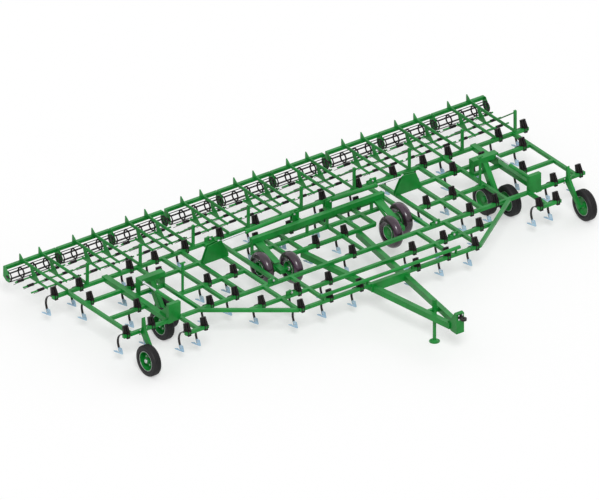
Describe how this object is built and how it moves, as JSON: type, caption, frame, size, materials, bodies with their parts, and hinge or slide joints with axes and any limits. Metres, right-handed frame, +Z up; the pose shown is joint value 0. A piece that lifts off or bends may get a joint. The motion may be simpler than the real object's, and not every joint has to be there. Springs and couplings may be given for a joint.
{
  "type": "field cultivator",
  "caption": "Wide three-section field cultivator, spread out on its wheels: green square-tube frame, sprung C-shank sweeps, trailing harrow and rolling baskets, V drawbar with jack",
  "frame": {"origin": "on the ground under the middle of the bounding box", "axes": "+X to the machine's right seen from its front, +Y to the rear, +Z up; travel is -Y"},
  "size_m": [12.02, 7.56, 1.479],
  "materials": {
    "frame_paint": "gloss",
    "spring_paint": "satin",
    "sweep_steel": "satin",
    "roller_steel": "satin",
    "rod_chrome": "polished",
    "tyre_rubber": "matte"
  },
  "bodies": {
    "root": {"centre_frame": "frame_paint", "drawbar": "frame_paint", "hitch_eye": "spring_paint", "jack_tube": "frame_paint", "fold_tower": "frame_paint", "left_fold_barrel": "frame_paint", "right_fold_barrel": "frame_paint", "centre_wheel_legs": "frame_paint", "centre_tines": "spring_paint", "centre_sweeps": "sweep_steel", "centre_harrow_frames": "frame_paint", "centre_harrow_tines": "roller_steel"},
    "jack_leg": {"jack_leg": "frame_paint"},
    "left_rod": {"left_fold_rod": "rod_chrome"},
    "right_rod": {"right_fold_rod": "rod_chrome"},
    "left_wing": {"left_frame": "frame_paint", "left_wheel_carriers": "frame_paint", "left_lift_rod": "rod_chrome", "left_tines": "spring_paint", "left_sweeps": "sweep_steel", "left_harrow_frames": "frame_paint", "left_harrow_tines": "roller_steel"},
    "right_wing": {"right_frame": "frame_paint", "right_wheel_carriers": "frame_paint", "right_lift_rod": "rod_chrome", "right_tines": "spring_paint", "right_sweeps": "sweep_steel", "right_harrow_frames": "frame_paint", "right_harrow_tines": "roller_steel"},
    "centre_wheel_1": {"centre_tyre_1": "tyre_rubber", "centre_rim_1": "frame_paint"},
    "centre_wheel_2": {"centre_tyre_2": "tyre_rubber", "centre_rim_2": "frame_paint"},
    "centre_wheel_3": {"centre_tyre_3": "tyre_rubber", "centre_rim_3": "frame_paint"},
    "centre_wheel_4": {"centre_tyre_4": "tyre_rubber", "centre_rim_4": "frame_paint"},
    "left_wheel_inner": {"left_tyre_inner": "tyre_rubber", "left_rim_inner": "frame_paint"},
    "left_wheel_outer": {"left_tyre_outer": "tyre_rubber", "left_rim_outer": "frame_paint"},
    "left_wheel_gauge": {"left_tyre_gauge": "tyre_rubber", "left_rim_gauge": "frame_paint"},
    "right_wheel_inner": {"right_tyre_inner": "tyre_rubber", "right_rim_inner": "frame_paint"},
    "right_wheel_outer": {"right_tyre_outer": "tyre_rubber", "right_rim_outer": "frame_paint"},
    "right_wheel_gauge": {"right_tyre_gauge": "tyre_rubber", "right_rim_gauge": "frame_paint"},
    "centre_basket_1": {"centre_basket_1": "roller_steel"},
    "centre_basket_2": {"centre_basket_2": "roller_steel"},
    "centre_basket_3": {"centre_basket_3": "roller_steel"},
    "left_basket_1": {"left_basket_1": "roller_steel"},
    "left_basket_2": {"left_basket_2": "roller_steel"},
    "left_basket_3": {"left_basket_3": "roller_steel"},
    "right_basket_1": {"right_basket_1": "roller_steel"},
    "right_basket_2": {"right_basket_2": "roller_steel"},
    "right_basket_3": {"right_basket_3": "roller_steel"}
  },
  "joints": [
    {"name": "jack", "type": "slide", "parent": "root", "child": "jack_leg", "axis": [0, 0, 1], "range_m": [0, 0.3]},
    {"name": "left_fold", "type": "hinge", "parent": "root", "child": "left_wing", "pos_m": [-2.035, 2.175, 0.87], "axis": [0, 1, 0], "range_deg": [0, 90]},
    {"name": "left_rod_slide", "type": "slide", "parent": "root", "child": "left_rod", "axis": [0.9996, 0, 0.027], "range_m": [0, 0.58]},
    {"name": "right_fold", "type": "hinge", "parent": "root", "child": "right_wing", "pos_m": [2.035, 2.175, 0.87], "axis": [0, -1, 0], "range_deg": [0, 90]},
    {"name": "right_rod_slide", "type": "slide", "parent": "root", "child": "right_rod", "axis": [-0.9996, 0, 0.027], "range_m": [0, 0.58]},
    {"name": "centre_wheel_1_spin", "type": "hinge", "parent": "root", "child": "centre_wheel_1", "pos_m": [-1.738, 0.779, 0.705], "axis": [1, 0, 0], "continuous": true},
    {"name": "centre_wheel_2_spin", "type": "hinge", "parent": "root", "child": "centre_wheel_2", "pos_m": [-1.248, 0.447, 0.705], "axis": [1, 0, 0], "continuous": true},
    {"name": "centre_wheel_3_spin", "type": "hinge", "parent": "root", "child": "centre_wheel_3", "pos_m": [1.248, 0.447, 0.705], "axis": [1, 0, 0], "continuous": true},
    {"name": "centre_wheel_4_spin", "type": "hinge", "parent": "root", "child": "centre_wheel_4", "pos_m": [1.738, 0.779, 0.705], "axis": [1, 0, 0], "continuous": true},
    {"name": "left_wheel_inner_spin", "type": "hinge", "parent": "left_wing", "child": "left_wheel_inner", "pos_m": [-3.986, 0.965, 0.33], "axis": [1, 0, 0], "continuous": true},
    {"name": "left_wheel_outer_spin", "type": "hinge", "parent": "left_wing", "child": "left_wheel_outer", "pos_m": [-4.346, 0.635, 0.33], "axis": [1, 0, 0], "continuous": true},
    {"name": "left_wheel_gauge_spin", "type": "hinge", "parent": "left_wing", "child": "left_wheel_gauge", "pos_m": [-5.46, -0.425, 0.33], "axis": [1, 0, 0], "continuous": true},
    {"name": "right_wheel_inner_spin", "type": "hinge", "parent": "right_wing", "child": "right_wheel_inner", "pos_m": [3.986, 0.965, 0.33], "axis": [1, 0, 0], "continuous": true},
    {"name": "right_wheel_outer_spin", "type": "hinge", "parent": "right_wing", "child": "right_wheel_outer", "pos_m": [4.346, 0.635, 0.33], "axis": [1, 0, 0], "continuous": true},
    {"name": "right_wheel_gauge_spin", "type": "hinge", "parent": "right_wing", "child": "right_wheel_gauge", "pos_m": [5.46, -0.425, 0.33], "axis": [1, 0, 0], "continuous": true},
    {"name": "centre_basket_1_spin", "type": "hinge", "parent": "root", "child": "centre_basket_1", "pos_m": [-1.325, 3.625, 0.625], "axis": [1, 0, 0], "continuous": true},
    {"name": "centre_basket_2_spin", "type": "hinge", "parent": "root", "child": "centre_basket_2", "pos_m": [0, 3.625, 0.625], "axis": [1, 0, 0], "continuous": true},
    {"name": "centre_basket_3_spin", "type": "hinge", "parent": "root", "child": "centre_basket_3", "pos_m": [1.325, 3.625, 0.625], "axis": [1, 0, 0], "continuous": true},
    {"name": "left_basket_1_spin", "type": "hinge", "parent": "left_wing", "child": "left_basket_1", "pos_m": [-2.7075, 3.625, 0.625], "axis": [1, 0, 0], "continuous": true},
    {"name": "left_basket_2_spin", "type": "hinge", "parent": "left_wing", "child": "left_basket_2", "pos_m": [-4.0325, 3.625, 0.625], "axis": [1, 0, 0], "continuous": true},
    {"name": "left_basket_3_spin", "type": "hinge", "parent": "left_wing", "child": "left_basket_3", "pos_m": [-5.3575, 3.625, 0.625], "axis": [1, 0, 0], "continuous": true},
    {"name": "right_basket_1_spin", "type": "hinge", "parent": "right_wing", "child": "right_basket_1", "pos_m": [2.7075, 3.625, 0.625], "axis": [1, 0, 0], "continuous": true},
    {"name": "right_basket_2_spin", "type": "hinge", "parent": "right_wing", "child": "right_basket_2", "pos_m": [4.0325, 3.625, 0.625], "axis": [1, 0, 0], "continuous": true},
    {"name": "right_basket_3_spin", "type": "hinge", "parent": "right_wing", "child": "right_basket_3", "pos_m": [5.3575, 3.625, 0.625], "axis": [1, 0, 0], "continuous": true}
  ],
  "couplings": [
    {"joint": "left_rod_slide", "follows": "left_fold", "m_per_rad": 0.36606},
    {"joint": "right_rod_slide", "follows": "right_fold", "m_per_rad": 0.36606}
  ]
}
